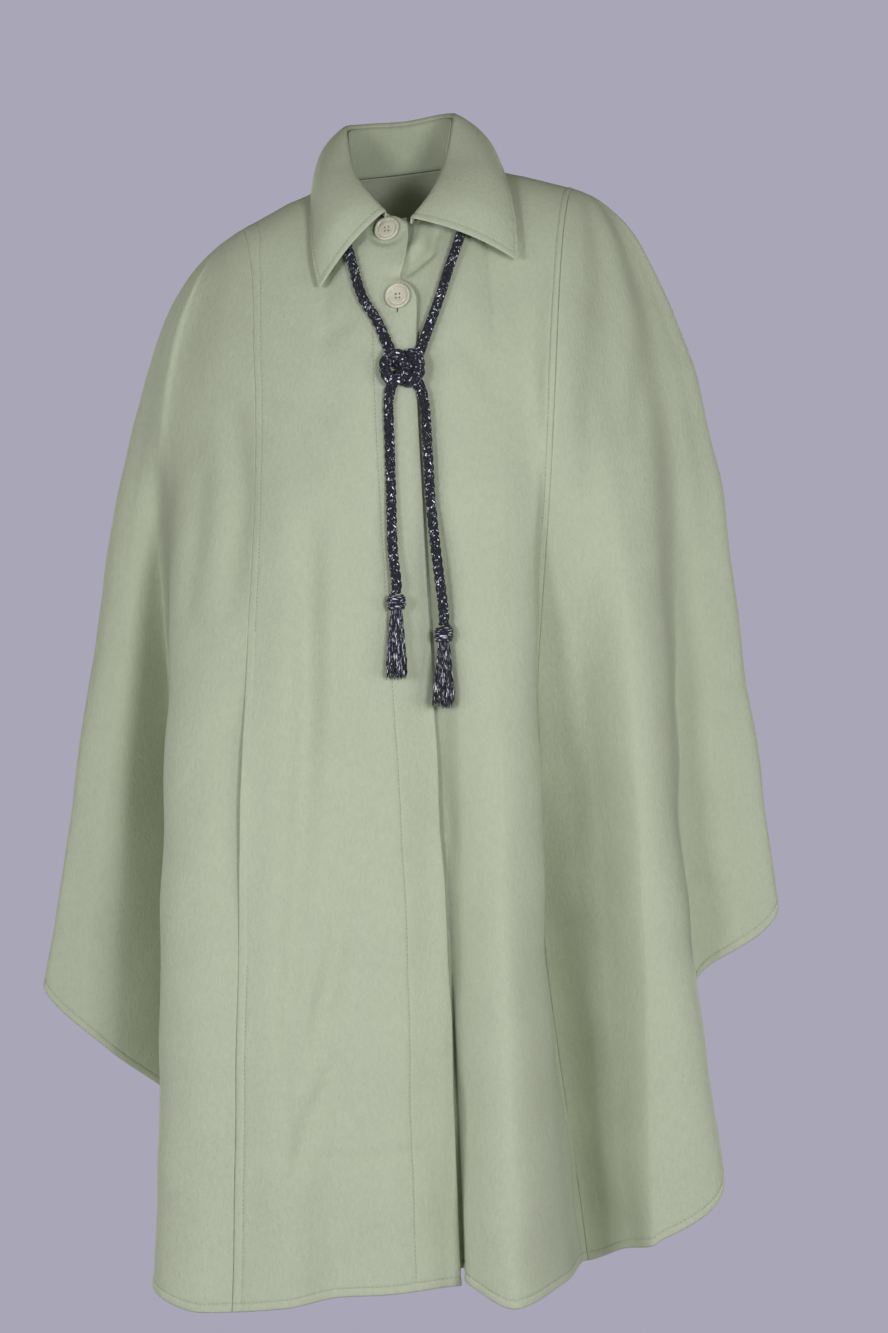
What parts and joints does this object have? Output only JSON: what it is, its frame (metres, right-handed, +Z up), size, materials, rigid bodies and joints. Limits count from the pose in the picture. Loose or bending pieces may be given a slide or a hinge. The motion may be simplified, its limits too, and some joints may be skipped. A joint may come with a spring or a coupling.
{
  "type": "cape coat",
  "caption": "Knee-length cape coat of brushed wool in its worn, hollow form, with a pointed collar, a covered button front, arm slits in the front seams and a tasselled neck tie.",
  "frame": {"origin": "middle of the shoulder line, between the sides of the neck seam, where the wearer's shoulders hold the cape", "axes": "+Z up, the wearer faces -Y, +X is the wearer's left"},
  "size_m": [0.733, 0.498, 1.1583],
  "materials": {
    "wool": "brushed wool with a soft nap",
    "button": "polished cream resin",
    "cord": "navy braid with silver thread",
    "tassel": "navy yarn with silver thread"
  },
  "bodies": {
    "root": {"front_right": "wool", "front_left": "wool", "side_right": "wool", "side_left": "wool", "back": "wool", "collar_stand": "wool", "collar_fall": "wool", "button_top": "button", "button_lower": "button", "tie_cord_right": "cord", "tie_cord_left": "cord", "tassel_right": "tassel", "tassel_left": "tassel"}
  },
  "joints": []
}
